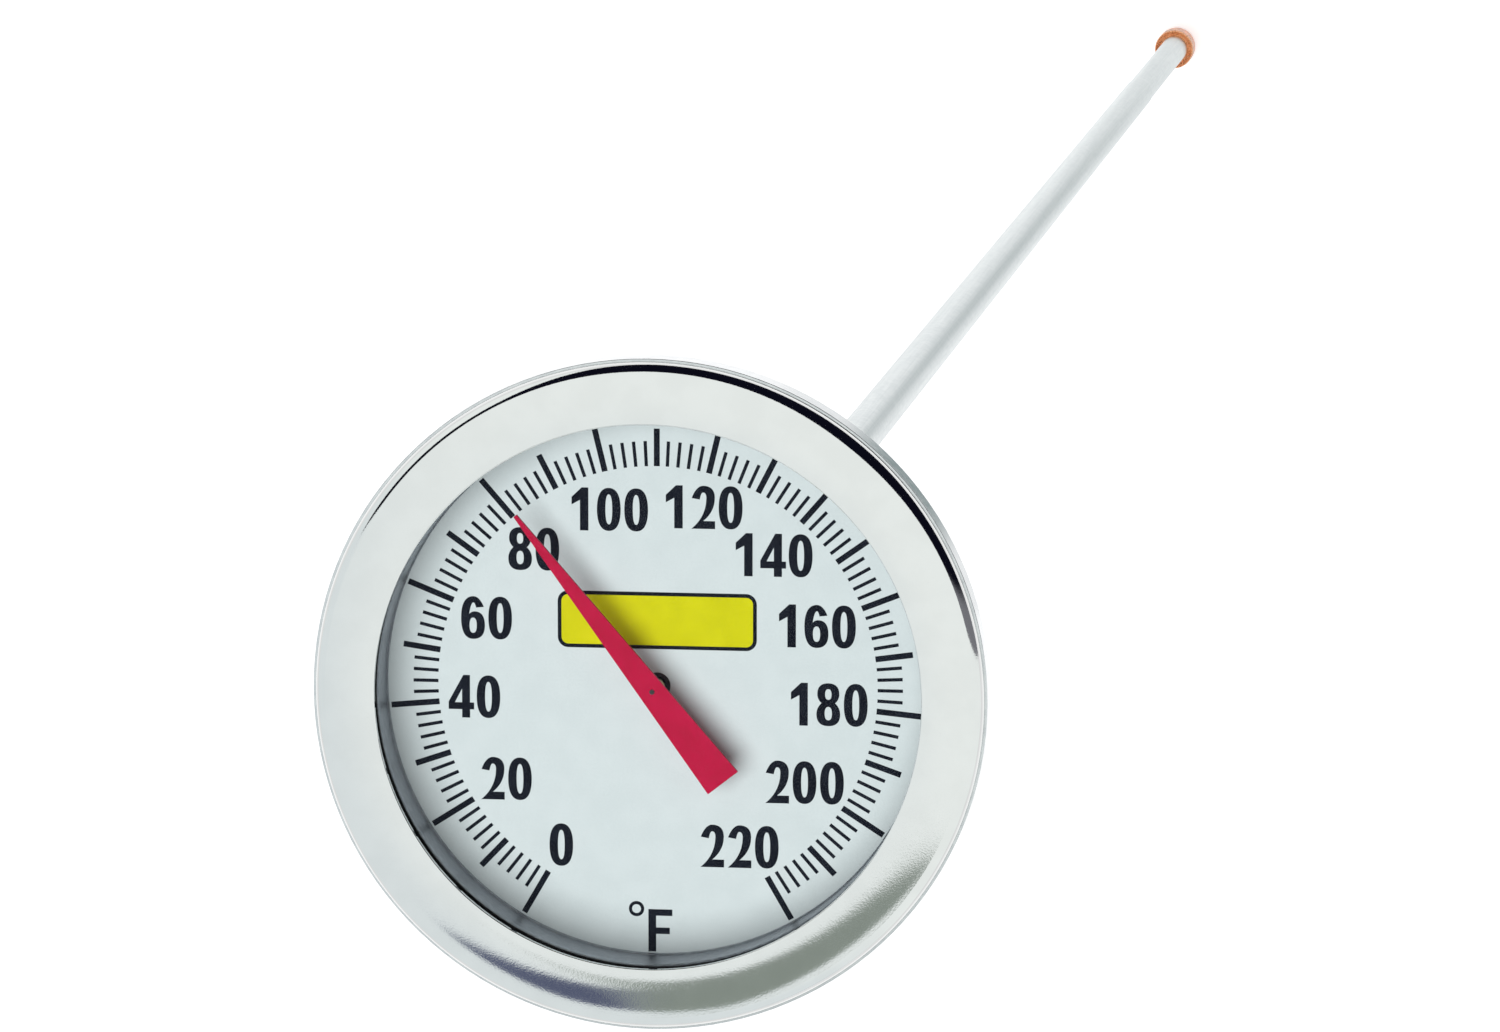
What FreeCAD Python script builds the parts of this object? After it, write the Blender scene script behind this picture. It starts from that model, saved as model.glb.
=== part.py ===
import FreeCAD, Part
import math
import os

# Long-stemmed bimetal dial thermometer, in millimetres.
# The origin is the centre of the hexagonal hub's underside, where the stem leaves it.
# +Z runs out through the dial's face, -Z down the stem, and +Y points to the dial's twelve o'clock.

V = FreeCAD.Vector
AXIS = V(0, 0, 1)
TINY = 1e-6
CUT_MARGIN = 1.0

# Rounds: a broken edge, the rolled edge of a sheet, and the bends of thin and of drawn sheet
EDGE_ROUND = 0.1
LIP_ROUND = 0.15
RIM_EDGE_ROUND = 0.06
BEND_ROUND = 0.2
SHEET_BEND_ROUND = 0.3

# Stem
STEM_RADIUS = 1.9
STEM_LENGTH = 508.0
SENSING_RADIUS = 1.8
SENSING_LENGTH = 68.0
STEM_TAPER = 2.0
STEM_BORE = 1.55
HUB_END_RADIUS = 2.3
HUB_END_BORE = 1.95
HUB_END_FLARE = 0.6
PLUG_NOSE = 3.0
PLUG_SHANK = 6.0
PLUG_TIP_RADIUS = 0.7
PLUG_TIP_ROUND = 0.4
PLUG_CHEEK_DROP = 1.0
PLUG_CHEEK_ROUND = 1.2

# Hexagonal hub and the parts that hold the head on it
HEX_ACROSS_FLATS = 12.7
HEX_HEIGHT = 5.0
HEX_CHAMFER = 0.6
HEX_CHAMFER_DROP = 0.36
BOSS_RADIUS = 3.5
BOSS_TOP = 8.6
RUNNING_GAP = 0.05
FACE_GAP = 0.02
FRICTION_WASHER_RADIUS = 6.2
FRICTION_WASHER_THICKNESS = 0.5
SPRING_WASHER_RADIUS = 5.6
SPRING_WASHER_SHEET = 0.3
SPRING_WASHER_RISE = 0.7
RETAINING_RING_RADIUS = 4.9
RETAINING_RING_THICKNESS = 0.6

# Case cup
CASE_SHEET = 0.4
DRUM_STEP_ROUND = 0.5
RIM_STEP_ROUND = 0.4
CASE_BACK_Z = HEX_HEIGHT + FRICTION_WASHER_THICKNESS + FACE_GAP
WELL_RADIUS = 22.4
WELL_CORNER = 2.4
DRUM_RADIUS = 23.45
RIM_RADIUS = 25.25

# Heights of the layers in the head, from the printed face of the dial
DIAL_Z = 11.5
DIAL_SHEET = 0.5
RIM_STEP = 2.3
POINTER_HEIGHT = 2.5
SPACER_TOP = 3.7
WINDOW_BOTTOM = 4.0
RIM_TOP = 5.0
WINDOW_TOP = 5.4
GASKET_TOP = 5.7
LIP_TOP = 6.17
BEZEL_CREST = 6.205
SHOULDER_TOP = 5.88

# Dial, window and the rings round them
DIAL_RADIUS = 22.9
DIAL_HOLE_RADIUS = 1.0
SPACER_INNER_RADIUS = 20.52
SPACER_SHEET = 0.4
SPACER_BEAD = 0.12
SPACER_BEAD_HEIGHT = 0.4
WINDOW_RADIUS = 23.6
GASKET_INNER_RADIUS = 20.6
GASKET_OUTER_RADIUS = 24.3
GASKET_CORNER_ROUND = 0.5

# Bezel
BEZEL_SHEET = 0.33
LIP_RADIUS = 20.45
LIP_LAND = 0.6
LIP_TOP_ROUND = 0.1
CREST_RADIUS = 22.45
CREST_ROUND = 21.9
CREST_INNER_ROUND = 1.0
SHOULDER_RADIUS = 25.05
SHOULDER_ROUND = 0.99
SHOULDER_UNDERSIDE = 5.63

# Spindle and pointer
SPINDLE_RADIUS = 0.5
PIVOT_RADIUS = 0.2
PIVOT_RISE = 0.08
PIVOT_ROUND = 0.06
POINTER_READING = 82.0
SCALE_MAXIMUM = 220.0
SCALE_SWEEP = 300.0
POINTER_SHEET = 0.3
POINTER_TIP_LENGTH = 16.6
POINTER_TAIL_LENGTH = 8.6
POINTER_TIP_WIDTH = 0.3
POINTER_TAIL_WIDTH = 2.85
POINTER_HUB_RADIUS = 0.8
POINTER_HUB_HEIGHT = 1.3

# Bearings of the spindle
GUIDE_BUSH_LENGTH = 4.0
GUIDE_BUSH_TOPS = (-12.0, -152.0, -292.0, -430.0)
BEARING_FLANGE_RADIUS = 2.6
BEARING_FLANGE_THICKNESS = 0.6
BEARING_NECK_RADIUS = 1.5
BEARING_SHANK = 3.0
BEARING_DIAL_GAP = 0.2

# Bimetal helix
COIL_RADIUS = 1.15
COIL_STRIP_THICKNESS = 0.2
COIL_STRIP_WIDTH = 1.5
COIL_PITCH = 2.2
COIL_TURNS = 26
COIL_BOTTOM = -497.0
ANCHOR_RADIUS = COIL_RADIUS - COIL_STRIP_THICKNESS / 2
ANCHOR_TOP = -493.0
COLLET_RADIUS = 1.35
COLLET_THICKNESS = 2.5
COLLET_SPIGOT = 3.0
COLLET_SPIGOT_RADIUS = 0.95
COLLET_SOCKET_FLOOR = 0.5

# Tip cap
CAP_RADIUS = 2.7
CAP_GAP = 0.03
CAP_BORE_RADIUS = SENSING_RADIUS + CAP_GAP
CAP_COVER = 5.0
CAP_END_WALL = 2.0
CAP_DOME_ROUND = 2.2


def corner_cut(before, here, after, radius):
    """Start, middle and end of the arc that rounds one corner."""
    to_before = (before - here).normalize()
    to_after = (after - here).normalize()
    half = to_before.getAngle(to_after) / 2
    inward = (to_before + to_after).normalize()
    middle = here + inward * (radius / math.sin(half) - radius)
    back = radius / math.tan(half)
    return here + to_before * back, middle, here + to_after * back


def rounded_face(corners):
    """Closed face in the XZ plane through (x, z, corner radius) points."""
    points = [V(x, 0, z) for x, z, _ in corners]
    cuts = []
    for i, (_, _, radius) in enumerate(corners):
        if radius:
            cuts.append(corner_cut(points[i - 1], points[i], points[(i + 1) % len(points)], radius))
        else:
            cuts.append((points[i], points[i], points[i]))
    edges = []
    for i, (start, middle, end) in enumerate(cuts):
        next_start = cuts[(i + 1) % len(cuts)][0]
        if start.distanceToPoint(end) > TINY:
            edges.append(Part.Arc(start, middle, end).toShape())
        if end.distanceToPoint(next_start) > TINY:
            edges.append(Part.LineSegment(end, next_start).toShape())
    return Part.Face(Part.Wire(edges))


def revolved(corners):
    """Solid of revolution about Z of an outline of (radius, z, corner radius) points."""
    return rounded_face(corners).revolve(V(0, 0, 0), AXIS, 360)


def rod(radius, bottom, top):
    return Part.makeCylinder(radius, top - bottom, V(0, 0, bottom), AXIS)


def ring(inner, outer, bottom, top):
    return rod(outer, bottom, top).cut(rod(inner, bottom - CUT_MARGIN, top + CUT_MARGIN))


def above_dial(height):
    return DIAL_Z + height


def stem_tube():
    """Drawn tube, a little slimmer over the sensing end and swaged wider where it is brazed into the hub."""
    seam = PLUG_NOSE - STEM_LENGTH
    sensing_top = SENSING_LENGTH - STEM_LENGTH
    return revolved(
        [
            (STEM_BORE, seam, 0),
            (SENSING_RADIUS, seam, 0),
            (SENSING_RADIUS, sensing_top - STEM_TAPER, 0),
            (STEM_RADIUS, sensing_top, 0),
            (STEM_RADIUS, 0, 0),
            (HUB_END_RADIUS, 0, 0),
            (HUB_END_RADIUS, BOSS_TOP, 0),
            (HUB_END_BORE, BOSS_TOP, 0),
            (HUB_END_BORE, HUB_END_FLARE * 2, 0),
            (STEM_BORE, HUB_END_FLARE, 0),
        ]
    )


def tip_plug():
    """Welded end: a shank inside the tube and a blunt nose flush with its outside."""
    tip = -STEM_LENGTH
    seam = tip + PLUG_NOSE
    return revolved(
        [
            (0, tip, 0),
            (PLUG_TIP_RADIUS, tip, PLUG_TIP_ROUND),
            (SENSING_RADIUS, seam - PLUG_CHEEK_DROP, PLUG_CHEEK_ROUND),
            (SENSING_RADIUS, seam, 0),
            (STEM_BORE, seam, 0),
            (STEM_BORE, seam + PLUG_SHANK, BEND_ROUND),
            (0, seam + PLUG_SHANK, 0),
        ]
    )


def hex_hub():
    """Spanner hexagon with a round boss that passes up through the case back."""
    corner_radius = HEX_ACROSS_FLATS / math.sqrt(3)
    corners = [
        V(corner_radius * math.cos(math.radians(60 * i)), corner_radius * math.sin(math.radians(60 * i)), 0)
        for i in range(7)
    ]
    hexagon = Part.Face(Part.makePolygon(corners)).extrude(V(0, 0, HEX_HEIGHT))
    chamfer = revolved(
        [
            (0, 0, 0),
            (corner_radius - HEX_CHAMFER, 0, 0),
            (corner_radius, HEX_CHAMFER_DROP, 0),
            (corner_radius, HEX_HEIGHT - HEX_CHAMFER_DROP, 0),
            (corner_radius - HEX_CHAMFER, HEX_HEIGHT, 0),
            (0, HEX_HEIGHT, 0),
        ]
    )
    boss = rod(BOSS_RADIUS, HEX_HEIGHT - CUT_MARGIN, BOSS_TOP)
    bore = rod(HUB_END_RADIUS, -CUT_MARGIN, BOSS_TOP + CUT_MARGIN)
    return hexagon.common(chamfer).fuse(boss).cut(bore).removeSplitter()


def friction_washer():
    return ring(BOSS_RADIUS, FRICTION_WASHER_RADIUS, HEX_HEIGHT, HEX_HEIGHT + FRICTION_WASHER_THICKNESS)


def spring_washer():
    """Coned washer: its outer edge bears on the case back, its inner edge on the retaining ring."""
    bottom = CASE_BACK_Z + CASE_SHEET + FACE_GAP
    inner = BOSS_RADIUS + RUNNING_GAP
    return revolved(
        [
            (SPRING_WASHER_RADIUS, bottom, 0),
            (SPRING_WASHER_RADIUS, bottom + SPRING_WASHER_SHEET, 0),
            (inner, bottom + SPRING_WASHER_RISE + SPRING_WASHER_SHEET, 0),
            (inner, bottom + SPRING_WASHER_RISE, 0),
        ]
    )


def retaining_ring():
    bottom = CASE_BACK_Z + CASE_SHEET + FACE_GAP + SPRING_WASHER_RISE + SPRING_WASHER_SHEET
    return ring(BOSS_RADIUS, RETAINING_RING_RADIUS, bottom, bottom + RETAINING_RING_THICKNESS)


def spindle_bearing():
    """Flanged bush in the top of the stem, whose neck shows through the dial's centre hole."""
    bore = SPINDLE_RADIUS + RUNNING_GAP
    flange_top = BOSS_TOP + BEARING_FLANGE_THICKNESS
    neck_top = DIAL_Z - DIAL_SHEET - BEARING_DIAL_GAP
    return revolved(
        [
            (bore, BOSS_TOP - BEARING_SHANK, 0),
            (HUB_END_BORE, BOSS_TOP - BEARING_SHANK, EDGE_ROUND),
            (HUB_END_BORE, BOSS_TOP, 0),
            (BEARING_FLANGE_RADIUS, BOSS_TOP, EDGE_ROUND),
            (BEARING_FLANGE_RADIUS, flange_top, EDGE_ROUND),
            (BEARING_NECK_RADIUS, flange_top, 0),
            (BEARING_NECK_RADIUS, neck_top, EDGE_ROUND),
            (bore, neck_top, 0),
        ]
    )


def guide_bush(top):
    return ring(SPINDLE_RADIUS + RUNNING_GAP, STEM_BORE, top - GUIDE_BUSH_LENGTH, top)


def case_cup():
    """Stepped sheet cup: a deep well, a drum that holds the dial, and an upright rim for the bezel."""
    well_top = DIAL_Z - DIAL_SHEET
    rim_step = above_dial(RIM_STEP)
    return revolved(
        [
            (BOSS_RADIUS + RUNNING_GAP, CASE_BACK_Z, 0),
            (WELL_RADIUS, CASE_BACK_Z, WELL_CORNER),
            (WELL_RADIUS, well_top - CASE_SHEET, BEND_ROUND),
            (DRUM_RADIUS, well_top - CASE_SHEET, DRUM_STEP_ROUND),
            (DRUM_RADIUS, rim_step, SHEET_BEND_ROUND),
            (RIM_RADIUS, rim_step, RIM_STEP_ROUND),
            (RIM_RADIUS, above_dial(RIM_TOP), RIM_EDGE_ROUND),
            (RIM_RADIUS - CASE_SHEET, above_dial(RIM_TOP), LIP_ROUND),
            (RIM_RADIUS - CASE_SHEET, rim_step + CASE_SHEET, EDGE_ROUND),
            (DRUM_RADIUS - CASE_SHEET, rim_step + CASE_SHEET, SHEET_BEND_ROUND),
            (DRUM_RADIUS - CASE_SHEET, well_top, EDGE_ROUND),
            (WELL_RADIUS - CASE_SHEET, well_top, SHEET_BEND_ROUND),
            (WELL_RADIUS - CASE_SHEET, CASE_BACK_Z + CASE_SHEET, WELL_CORNER - CASE_SHEET),
            (BOSS_RADIUS + RUNNING_GAP, CASE_BACK_Z + CASE_SHEET, 0),
        ]
    )


def dial_plate():
    return ring(DIAL_HOLE_RADIUS, DIAL_RADIUS, DIAL_Z - DIAL_SHEET, DIAL_Z)


def spacer_ring():
    """Channel-section ring that stands on the dial; a small bead runs round the foot of its inner leg."""
    top = above_dial(SPACER_TOP)
    bead_radius = SPACER_INNER_RADIUS - SPACER_BEAD
    bead_top = above_dial(SPACER_BEAD_HEIGHT)
    return revolved(
        [
            (bead_radius, DIAL_Z, 0),
            (bead_radius, bead_top - SPACER_BEAD / 2, SPACER_BEAD),
            (SPACER_INNER_RADIUS, bead_top + SPACER_BEAD / 2, EDGE_ROUND),
            (SPACER_INNER_RADIUS, top, SHEET_BEND_ROUND),
            (DIAL_RADIUS, top, SHEET_BEND_ROUND),
            (DIAL_RADIUS, DIAL_Z, 0),
            (DIAL_RADIUS - SPACER_SHEET, DIAL_Z, 0),
            (DIAL_RADIUS - SPACER_SHEET, top - SPACER_SHEET, EDGE_ROUND),
            (SPACER_INNER_RADIUS + SPACER_SHEET, top - SPACER_SHEET, EDGE_ROUND),
            (SPACER_INNER_RADIUS + SPACER_SHEET, DIAL_Z, 0),
        ]
    )


def glass_lens():
    bottom = above_dial(WINDOW_BOTTOM)
    top = above_dial(WINDOW_TOP)
    return revolved(
        [
            (0, bottom, 0),
            (WINDOW_RADIUS, bottom, BEND_ROUND),
            (WINDOW_RADIUS, top, BEND_ROUND),
            (0, top, 0),
        ]
    )


def lens_gasket():
    """Rubber channel round the window's edge, one leg on the window and one between it and the spacer."""
    window_bottom = above_dial(WINDOW_BOTTOM)
    window_top = above_dial(WINDOW_TOP)
    return revolved(
        [
            (GASKET_INNER_RADIUS, window_top, 0),
            (GASKET_INNER_RADIUS, above_dial(GASKET_TOP), EDGE_ROUND),
            (GASKET_OUTER_RADIUS, above_dial(GASKET_TOP), GASKET_CORNER_ROUND),
            (GASKET_OUTER_RADIUS, above_dial(SPACER_TOP), EDGE_ROUND),
            (GASKET_INNER_RADIUS, above_dial(SPACER_TOP), EDGE_ROUND),
            (GASKET_INNER_RADIUS, window_bottom, 0),
            (WINDOW_RADIUS + FACE_GAP, window_bottom, 0),
            (WINDOW_RADIUS + FACE_GAP, window_top, 0),
        ]
    )


def bezel_ring():
    """Formed ring: small lip over the window, broad crowned face, round shoulder and inner skirt."""
    skirt_outer = RIM_RADIUS - CASE_SHEET
    skirt_inner = skirt_outer - BEZEL_SHEET
    skirt_foot = above_dial(RIM_STEP) + CASE_SHEET
    return revolved(
        [
            (LIP_RADIUS, above_dial(GASKET_TOP), LIP_ROUND),
            (LIP_RADIUS, above_dial(LIP_TOP), LIP_TOP_ROUND),
            (CREST_RADIUS, above_dial(BEZEL_CREST), CREST_ROUND),
            (SHOULDER_RADIUS, above_dial(SHOULDER_TOP), SHOULDER_ROUND),
            (SHOULDER_RADIUS, above_dial(RIM_TOP), 0),
            (skirt_outer, above_dial(RIM_TOP), 0),
            (skirt_outer, skirt_foot, EDGE_ROUND),
            (skirt_inner, skirt_foot, EDGE_ROUND),
            (skirt_inner, above_dial(SHOULDER_UNDERSIDE), BEND_ROUND),
            (CREST_RADIUS, above_dial(BEZEL_CREST) - BEZEL_SHEET, CREST_INNER_ROUND),
            (LIP_RADIUS + LIP_LAND, above_dial(GASKET_TOP), EDGE_ROUND),
        ]
    )


def spindle():
    """Long rod from the coil's collet to the pointer, with a thin pivot that the pointer is staked on."""
    foot = coil_top() + COLLET_SOCKET_FLOOR
    shoulder = above_dial(POINTER_HEIGHT)
    pivot_top = shoulder + POINTER_SHEET + PIVOT_RISE
    return revolved(
        [
            (0, foot, 0),
            (SPINDLE_RADIUS, foot, 0),
            (SPINDLE_RADIUS, shoulder, 0),
            (PIVOT_RADIUS, shoulder, 0),
            (PIVOT_RADIUS, pivot_top, PIVOT_ROUND),
            (0, pivot_top, 0),
        ]
    )


def pointer_angle():
    """Degrees clockwise from twelve o'clock."""
    return SCALE_SWEEP * (POINTER_READING / SCALE_MAXIMUM - 0.5)


def pointer():
    half_tip = POINTER_TIP_WIDTH / 2
    half_tail = POINTER_TAIL_WIDTH / 2
    bottom = above_dial(POINTER_HEIGHT)
    outline = [
        V(-half_tip, POINTER_TIP_LENGTH, bottom),
        V(half_tip, POINTER_TIP_LENGTH, bottom),
        V(half_tail, -POINTER_TAIL_LENGTH, bottom),
        V(-half_tail, -POINTER_TAIL_LENGTH, bottom),
    ]
    blade = Part.Face(Part.makePolygon(outline + outline[:1])).extrude(V(0, 0, POINTER_SHEET))
    blade = blade.cut(rod(PIVOT_RADIUS, bottom - CUT_MARGIN, bottom + CUT_MARGIN))
    blade.rotate(V(0, 0, 0), AXIS, -pointer_angle())
    return blade


def pointer_hub():
    top = above_dial(POINTER_HEIGHT)
    return revolved(
        [
            (SPINDLE_RADIUS, top - POINTER_HUB_HEIGHT, 0),
            (POINTER_HUB_RADIUS, top - POINTER_HUB_HEIGHT, EDGE_ROUND),
            (POINTER_HUB_RADIUS, top, 0),
            (SPINDLE_RADIUS, top, 0),
        ]
    )


def coil_top():
    return COIL_BOTTOM + COIL_PITCH * COIL_TURNS + COIL_STRIP_WIDTH


def bimetal_coil():
    """Flat strip wound on edge into a helix."""
    start = COIL_BOTTOM + COIL_STRIP_WIDTH / 2
    path = Part.makeHelix(COIL_PITCH, COIL_PITCH * COIL_TURNS, COIL_RADIUS)
    path.translate(V(0, 0, start))
    half_thickness = COIL_STRIP_THICKNESS / 2
    half_width = COIL_STRIP_WIDTH / 2
    strip = Part.makePolygon(
        [
            V(COIL_RADIUS + x, 0, start + z)
            for x, z in (
                (-half_thickness, -half_width),
                (half_thickness, -half_width),
                (half_thickness, half_width),
                (-half_thickness, half_width),
                (-half_thickness, -half_width),
            )
        ]
    )
    return Part.Wire(path.Edges).makePipeShell([strip], True, True)


def coil_anchor():
    """Pin on the tip plug that the coil's lower end is welded to."""
    return rod(ANCHOR_RADIUS, PLUG_NOSE + PLUG_SHANK - STEM_LENGTH, ANCHOR_TOP)


def coil_collet():
    """Disc on the spindle's lower end with a spigot that centres the coil's upper end."""
    bottom = coil_top() + FACE_GAP
    spigot = rod(COLLET_SPIGOT_RADIUS, bottom - COLLET_SPIGOT, bottom + COLLET_SOCKET_FLOOR / 2)
    disc = rod(COLLET_RADIUS, bottom, bottom + COLLET_THICKNESS)
    socket_top = bottom + COLLET_THICKNESS + CUT_MARGIN
    socket = rod(SPINDLE_RADIUS, coil_top() + COLLET_SOCKET_FLOOR, socket_top)
    return disc.fuse(spigot).cut(socket).removeSplitter()


def tip_cap():
    """Soft cap with a domed end, pulled over the stem's tip."""
    bottom = -STEM_LENGTH - CAP_END_WALL
    top = -STEM_LENGTH + CAP_COVER
    return revolved(
        [
            (0, bottom, 0),
            (CAP_RADIUS, bottom, CAP_DOME_ROUND),
            (CAP_RADIUS, top, SHEET_BEND_ROUND),
            (CAP_BORE_RADIUS, top, BEND_ROUND),
            (CAP_BORE_RADIUS, -STEM_LENGTH - CAP_GAP, 0),
            (0, -STEM_LENGTH - CAP_GAP, 0),
        ]
    )


def sub_parts():
    shapes = {
        "hex_hub": hex_hub(),
        "stem_tube": stem_tube(),
        "tip_plug": tip_plug(),
        "friction_washer": friction_washer(),
        "spring_washer": spring_washer(),
        "retaining_ring": retaining_ring(),
        "spindle_bearing": spindle_bearing(),
        "coil_anchor": coil_anchor(),
        "bimetal_coil": bimetal_coil(),
        "case_cup": case_cup(),
        "dial_plate": dial_plate(),
        "spacer_ring": spacer_ring(),
        "glass_lens": glass_lens(),
        "lens_gasket": lens_gasket(),
        "bezel_ring": bezel_ring(),
        "spindle": spindle(),
        "coil_collet": coil_collet(),
        "pointer_hub": pointer_hub(),
        "pointer": pointer(),
        "tip_cap": tip_cap(),
    }
    for number, top in enumerate(GUIDE_BUSH_TOPS, start=1):
        shapes[f"guide_bush_{number}"] = guide_bush(top)
    return shapes


os.makedirs("parts", exist_ok=True)
for node, shape in sub_parts().items():
    shape.exportStep(f"parts/{node}.step")
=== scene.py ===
import math
import bmesh
import bpy
from mathutils import Euler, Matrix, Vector


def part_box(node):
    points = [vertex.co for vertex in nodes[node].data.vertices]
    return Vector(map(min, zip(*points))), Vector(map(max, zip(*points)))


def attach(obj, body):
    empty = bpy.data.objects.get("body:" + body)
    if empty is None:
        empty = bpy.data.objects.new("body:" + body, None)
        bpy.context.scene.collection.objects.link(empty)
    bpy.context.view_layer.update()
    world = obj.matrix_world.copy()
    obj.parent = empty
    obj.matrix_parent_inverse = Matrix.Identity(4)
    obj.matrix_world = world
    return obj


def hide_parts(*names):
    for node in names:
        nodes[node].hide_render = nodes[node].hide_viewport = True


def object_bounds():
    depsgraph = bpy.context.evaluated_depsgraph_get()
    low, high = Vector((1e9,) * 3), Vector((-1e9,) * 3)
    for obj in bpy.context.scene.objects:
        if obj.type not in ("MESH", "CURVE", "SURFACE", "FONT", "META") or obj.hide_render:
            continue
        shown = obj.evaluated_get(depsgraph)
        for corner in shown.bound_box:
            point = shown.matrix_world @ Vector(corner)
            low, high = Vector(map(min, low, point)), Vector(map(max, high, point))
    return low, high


# Dial thermometer, seen from above its dial, a little towards one o'clock. Lengths are in metres.
# The dial's print is laid out in millimetres, x to three o'clock and y to twelve.

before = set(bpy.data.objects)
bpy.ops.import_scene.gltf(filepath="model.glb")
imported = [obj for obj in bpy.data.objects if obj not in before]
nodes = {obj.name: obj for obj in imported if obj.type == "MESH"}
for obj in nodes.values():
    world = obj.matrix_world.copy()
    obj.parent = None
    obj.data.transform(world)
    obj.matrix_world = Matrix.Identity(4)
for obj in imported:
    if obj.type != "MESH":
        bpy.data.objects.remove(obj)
cad_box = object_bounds()

MM = 0.001
dial_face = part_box("dial_plate")[1].z
pointer_low, pointer_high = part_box("pointer")

# Camera and floor
CAMERA_PLACE = (0.0789, 0.0993, 0.5597)
CAMERA_TURN = (-8.8814, 7.4805, 0.0061)
CAMERA_LENS = 180.49
CAMERA_SENSOR = 36.0
CAMERA_CLIP = (0.01, 200.0)
FLOOR_GAP = 0.0005
floor_height = cad_box[0].z - FLOOR_GAP
FLOOR_RADIUS = 40.0
FLOOR_GLOW = 0.68
FLOOR_TONES = ((0.86, 0.86, 0.86), (0.90, 0.90, 0.90))
OVAL_CORNERS = 64

# Light: an even room, one lamp, and the tent, shade and mat that show only in reflections
ROOM_TONE = 0.15
KEY_PLACE = (-0.134, -0.105, 0.845)
KEY_SIZE = 0.75
KEY_POWER = 8.9
TENT_RADIUS = 5.0
TENT_RINGS = 24
TENT_SPOKES = 64
TENT_COLOUR = (0.95, 0.985, 0.965)
# Towards half past seven the tent turns greyer, over this span of x + y in parts of its radius
TENT_FAR_COLOUR = (0.81, 0.865, 0.875)
TENT_FAR_SPAN = (-0.70, -0.12)
# Two darker stretches of the tent. Each lies within straight edges, given by the way an edge faces
# (degrees from +X towards +Y) and its distance from the axis, in parts of the tent's radius.
GREY_EDGES = ((70.2, -0.258), (180.0, 0.150), (-60.0, 0.345), (-100.0, 0.445))
GREY_COLOUR = (0.27, 0.31, 0.275)
NAVY_EDGES = ((116.9, -0.186), (0.0, -0.150), (-100.0, 0.445), (-122.0, 0.460))
NAVY_COLOUR = (0.10, 0.115, 0.19)
EDGE_SOFTNESS = 0.008
# The shade is a piece of a ball round the head. Turns are degrees clockwise from twelve o'clock, and
# its edges are tilts from straight up. The upper edge rises to a peak at one turn, and the lower
# edge drops over a span of turns.
SHADE_TURNS = (-76, 90)
SHADE_TURN_STEP = 2
SHADE_ROWS = 12
SHADE_RADIUS = 0.50
SHADE_TOP = 36.0
SHADE_BOTTOMS = (55.0, 105.0)
SHADE_WIDENS = (-45, -5)
SHADE_PEAK_TURN = 38.0
SHADE_PEAK = 19.0
SHADE_PEAK_WIDTH = 22.0
SHADE_COLOUR = (0.004, 0.004, 0.010)
SHADE_END_TURNS = (74.0, 81.0)
SHADE_END_COLOUR = (0.20, 0.20, 0.22)

# The mat lies on the floor, out from the stem towards two o'clock, and darkens what the stem and
# the case mirror of the floor. Its colour fades over a span of the squared way out to its edge.
MAT_TURN = 60.0
MAT_REACH = 0.125
MAT_LENGTH = 0.08
MAT_WIDTH = 0.065
MAT_MARGIN = 1.6
MAT_RISE = 0.004
MAT_COLOURS = ((0.25, 0.31, 0.31), (0.98, 0.99, 0.99))
MAT_FADE = (0.1, 1.1)

# Scale of the dial: readings in degrees, turn in degrees clockwise from twelve o'clock
SCALE_MAXIMUM = 220
SCALE_STEP = 2
MEDIUM_STEP = 10
LONG_STEP = 20
SCALE_SWEEP = 300.0
LINE_INNER = 16.58
LINE_OUTER = {"minor": 18.47, "medium": 19.40, "long": 20.25}
LINE_WIDTH = {"minor": 0.25, "medium": 0.44, "long": 0.44}
INK_THICKNESS = 0.02

# Numbers: height, the width of one figure's cell, and each number's centre
FIGURE_HEIGHT = 3.24
FIGURE_CELL = 2.06
ONE_NUDGE = -0.035
NUMBER_CENTRES = {
    0: (-7.3, -12.3),
    20: (-11.45, -7.35),
    40: (-13.85, -1.15),
    60: (-12.9, 4.85),
    80: (-9.3, 10.15),
    100: (-3.55, 13.25),
    120: (3.55, 13.55),
    140: (8.8, 10.05),
    160: (12.05, 4.75),
    180: (12.95, -1.15),
    200: (11.1, -7.1),
    220: (6.2, -12.1),
}
UNIT_LETTER_CORNER = (-0.7, -20.3)
DEGREE_CENTRE = (-1.6, -17.05)
DEGREE_RADII = (0.34, 0.58)

# Plain colour panel above the dial's centre
PANEL_CENTRE = (0.0, 4.92)
PANEL_SIZE = (15.0, 4.3)
PANEL_ROUND = 0.8
PANEL_BORDER = 0.28

# Pointer: lengths either way from its pivot, widths at its ends and the break of its edges
POINTER_READING = 82.0
POINTER_TIP = 16.6
POINTER_TAIL = 8.6
POINTER_TIP_WIDTH = 0.3
POINTER_TAIL_WIDTH = 2.85
POINTER_EDGE = 0.045

# Bezel: the corners of its section as radius, height above the dial and the corner's own radius
BEZEL_SECTION = (
    (20.45, 5.70, 0.15),
    (20.45, 6.17, 0.10),
    (22.45, 6.205, 21.9),
    (25.05, 5.88, 0.99),
    (25.05, 5.00, 0.02),
    (24.85, 5.00, 0.02),
    (24.85, 2.70, 0.10),
    (24.52, 2.70, 0.10),
    (24.52, 5.63, 0.20),
    (22.45, 5.875, 1.0),
    (21.05, 5.70, 0.10),
)
BEZEL_SPOKES = 240
BEZEL_ARC_STEPS = 10

# How far a curve's handle reaches towards the corner of its quarter turn, and the steps of a curve
ROUND = 0.56
FULL = 0.66
CURVE_STEPS = 10


def turn_of(reading):
    """Degrees clockwise from twelve o'clock at which the scale shows a reading."""
    return SCALE_SWEEP * (reading / SCALE_MAXIMUM - 0.5)


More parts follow.
